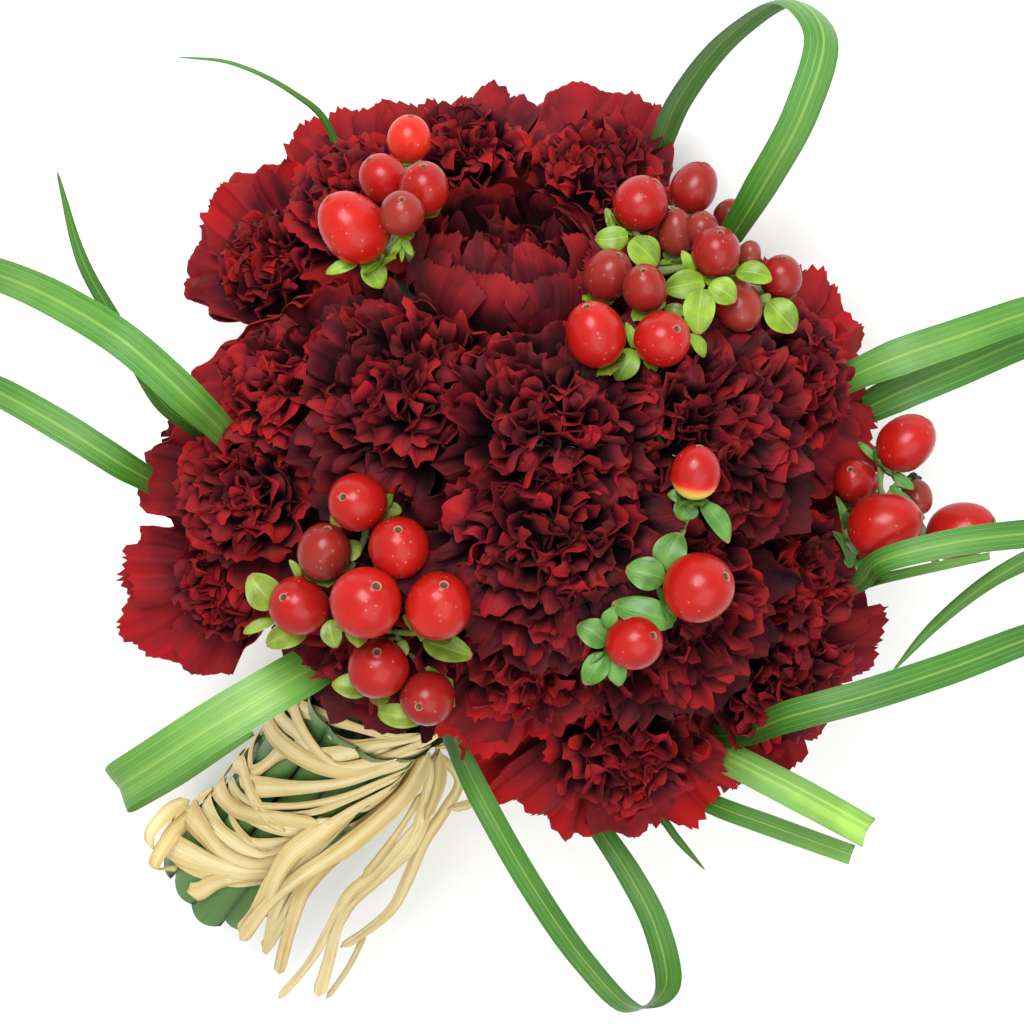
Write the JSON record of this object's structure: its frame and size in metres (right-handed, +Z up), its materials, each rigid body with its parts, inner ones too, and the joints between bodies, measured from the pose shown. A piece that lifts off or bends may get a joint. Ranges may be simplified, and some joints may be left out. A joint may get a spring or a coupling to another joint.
{
  "type": "bunch of carnations",
  "caption": "Hand-tied bunch of dark red spray carnations with red hypericum berries and looped grass blades, its handle wrapped in leaves and raffia, lying on its side.",
  "frame": {"origin": "on the surface that the bunch lies on, under the middle of its bounding box", "axes": "+X along the handle towards the flower dome, +Y to the left, +Z up"},
  "size_m": [0.309, 0.2324, 0.146],
  "materials": {
    "petal": "velvety, matt",
    "stem": "waxy green, satin",
    "hypericum": "glossy berry skin",
    "grass": "striped leaf, satin",
    "wrap_leaf": "waxy leaf, satin",
    "raffia": "dry fibre, matt"
  },
  "bodies": {
    "root": {"carnation_stem_01": "stem", "carnation_stem_02": "stem", "carnation_stem_03": "stem", "carnation_stem_04": "stem", "carnation_stem_05": "stem", "carnation_stem_06": "stem", "carnation_stem_07": "stem", "carnation_stem_08": "stem", "carnation_stem_09": "stem", "carnation_stem_10": "stem", "carnation_stem_11": "stem", "carnation_stem_12": "stem", "hypericum_1": "hypericum", "hypericum_2": "hypericum", "hypericum_3": "hypericum", "hypericum_4": "hypericum", "hypericum_5": "hypericum", "wrap_leaf_1": "wrap_leaf", "wrap_leaf_2": "wrap_leaf", "wrap_leaf_3": "wrap_leaf", "wrap_leaf_4": "wrap_leaf", "raffia_wraps": "raffia", "raffia_knot_and_tails": "raffia", "grass_blade_01": "grass", "grass_blade_02": "grass", "grass_blade_03": "grass", "grass_blade_04": "grass", "grass_blade_05": "grass", "grass_blade_06": "grass", "grass_blade_07": "grass", "grass_blade_08": "grass", "grass_blade_09": "grass", "grass_blade_10": "grass", "grass_blade_11": "grass", "grass_blade_12": "grass", "grass_blade_13": "grass", "bloom_01": "petal", "bloom_02": "petal", "bloom_03": "petal", "bloom_04": "petal", "bloom_05": "petal", "bloom_06": "petal", "bloom_07": "petal", "bloom_08": "petal", "bloom_09": "petal", "bloom_10": "petal", "bloom_11": "petal", "bloom_12": "petal", "bloom_13": "petal", "bloom_14": "petal", "bloom_15": "petal", "bloom_16": "petal", "bloom_17": "petal", "bloom_18": "petal", "bloom_19": "petal", "bloom_20": "petal", "bloom_21": "petal", "bloom_22": "petal", "bloom_23": "petal", "bloom_24": "petal"}
  },
  "joints": []
}
